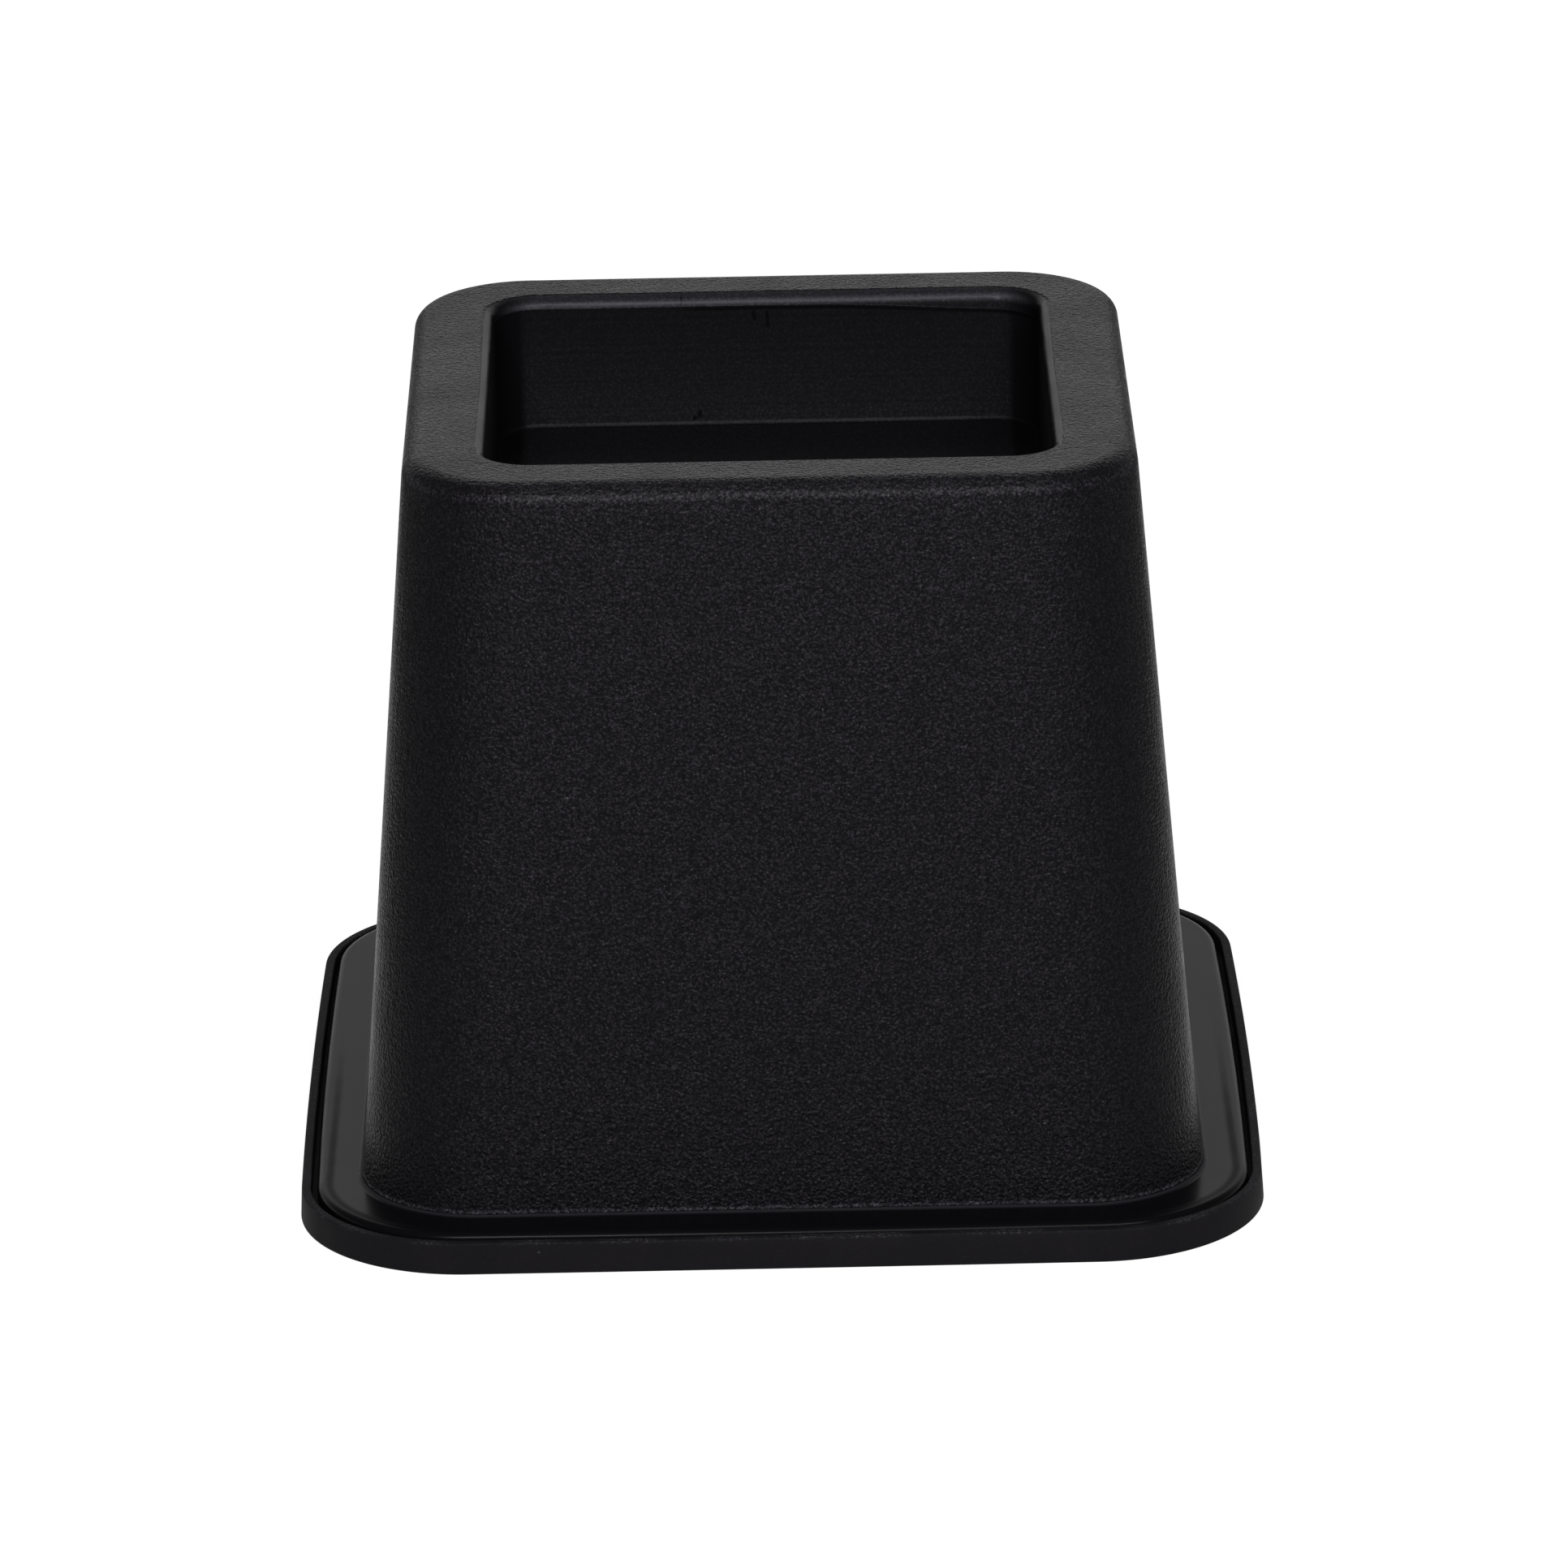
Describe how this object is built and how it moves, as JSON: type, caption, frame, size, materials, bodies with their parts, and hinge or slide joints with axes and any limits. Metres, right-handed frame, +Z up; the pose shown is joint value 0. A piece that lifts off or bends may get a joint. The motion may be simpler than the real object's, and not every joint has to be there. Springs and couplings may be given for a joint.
{
  "type": "bed riser",
  "caption": "Square tapered riser that lifts a bed or table leg: a hollow moulded tower with a leg pocket in its top, standing in a non-slip rubber boot.",
  "frame": {"origin": "on the floor, below the middle of the pocket, on the boot's underside", "axes": "+Z up out of the pocket; +X and +Y square to the sides"},
  "size_m": [0.135, 0.135, 0.108],
  "materials": {
    "grained_plastic": "black moulded plastic, fine spark grain on the tower and rim, smooth in the pocket and on the flange",
    "boot_rubber": "black matt rubber"
  },
  "bodies": {
    "root": {"riser_body": "grained_plastic", "rubber_boot": "boot_rubber"}
  },
  "joints": []
}
